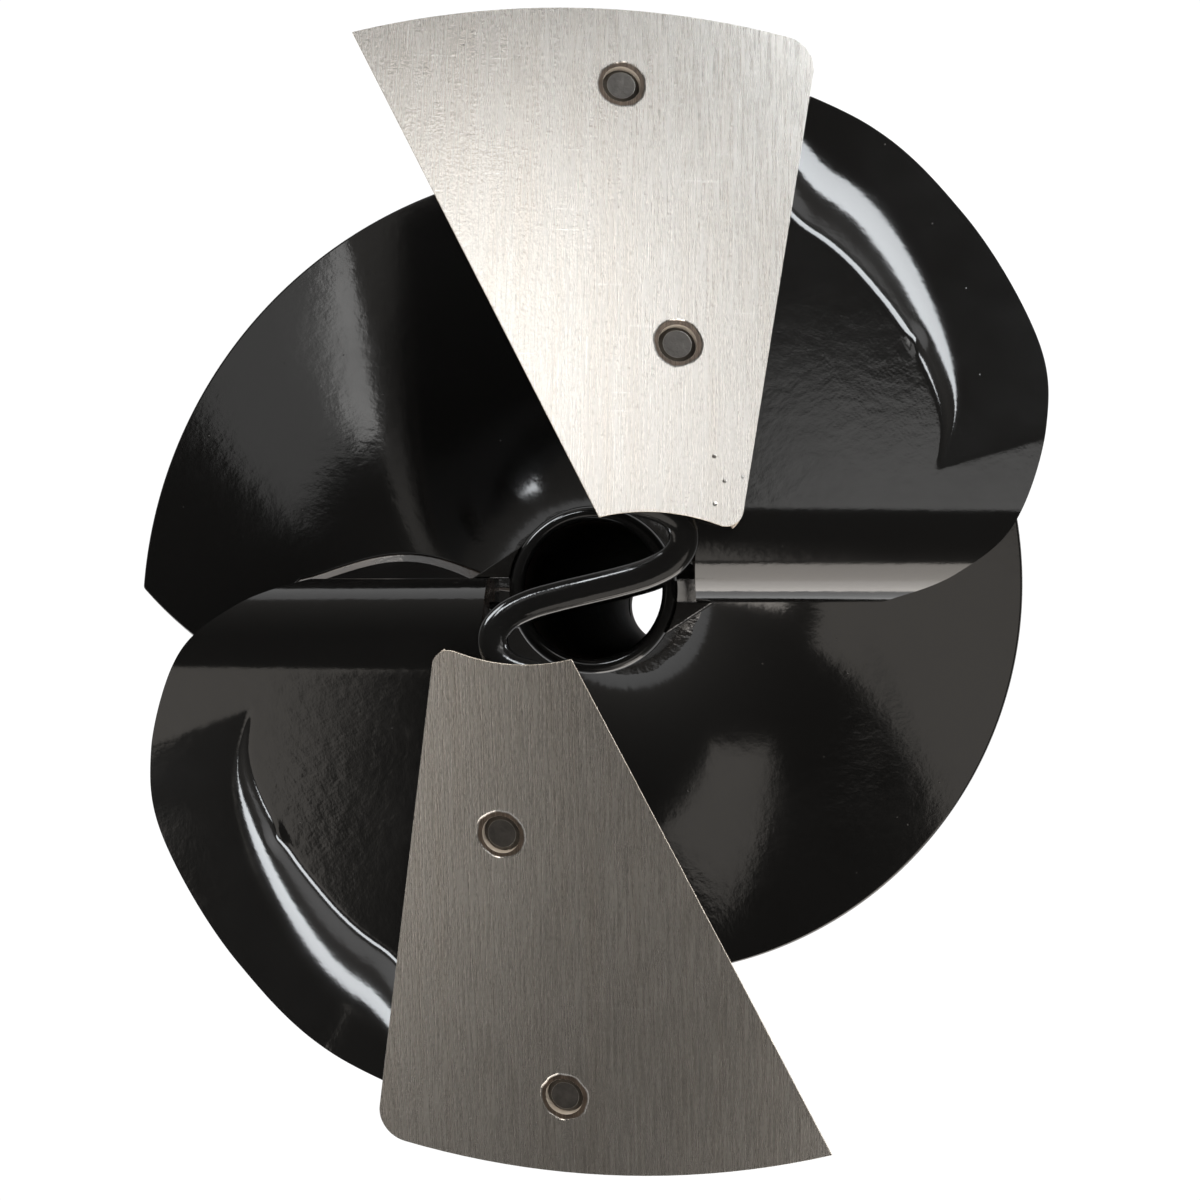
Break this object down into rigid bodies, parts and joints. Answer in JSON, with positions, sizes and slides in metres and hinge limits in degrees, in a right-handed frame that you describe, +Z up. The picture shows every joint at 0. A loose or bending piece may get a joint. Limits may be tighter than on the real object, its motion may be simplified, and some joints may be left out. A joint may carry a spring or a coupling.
{
  "type": "ice auger cutting head and lower unit",
  "caption": "Lower unit of a hand ice auger: two bolted knife blades on a pressed S-shaped head, an open centre tube and a helical flight.",
  "frame": {"origin": "on the axis of rotation, at the height of the blades' inner cutting corners, the lowest points", "axes": "+Z up the axis of rotation towards the drive end; +X along the wall of lobe a, 90 degrees behind blade a's cutting side; blade a lies on the -Y side and blade b on the +Y side"},
  "size_m": [0.162, 0.1986, 0.42],
  "materials": {
    "black_gloss_paint": "gloss black paint over welded steel",
    "blade_steel": "rolled stainless with fine straight grain",
    "screw_steel": "dark oxide",
    "washer_steel": "zinc plated"
  },
  "bodies": {
    "root": {"blade_a": "blade_steel", "blade_b": "blade_steel", "blade_screw_a_inner": "screw_steel", "blade_screw_a_outer": "screw_steel", "blade_screw_b_inner": "screw_steel", "blade_screw_b_outer": "screw_steel", "centre_tube": "black_gloss_paint", "drive_collar": "black_gloss_paint", "flight_section_1": "black_gloss_paint", "flight_section_2": "black_gloss_paint", "flight_section_3": "black_gloss_paint", "flight_section_4": "black_gloss_paint", "flight_start_weld": "black_gloss_paint", "flight_weld_1": "black_gloss_paint", "flight_weld_2": "black_gloss_paint", "flight_weld_3": "black_gloss_paint", "flight_weld_4": "black_gloss_paint", "head_lobe_a": "black_gloss_paint", "head_lobe_b": "black_gloss_paint", "head_web": "black_gloss_paint", "lock_washer_a_inner": "washer_steel", "lock_washer_a_outer": "washer_steel", "lock_washer_b_inner": "washer_steel", "lock_washer_b_outer": "washer_steel", "splice_weld_1": "black_gloss_paint", "splice_weld_2": "black_gloss_paint", "splice_weld_3": "black_gloss_paint", "web_weld_a": "black_gloss_paint", "web_weld_b": "black_gloss_paint"}
  },
  "joints": []
}
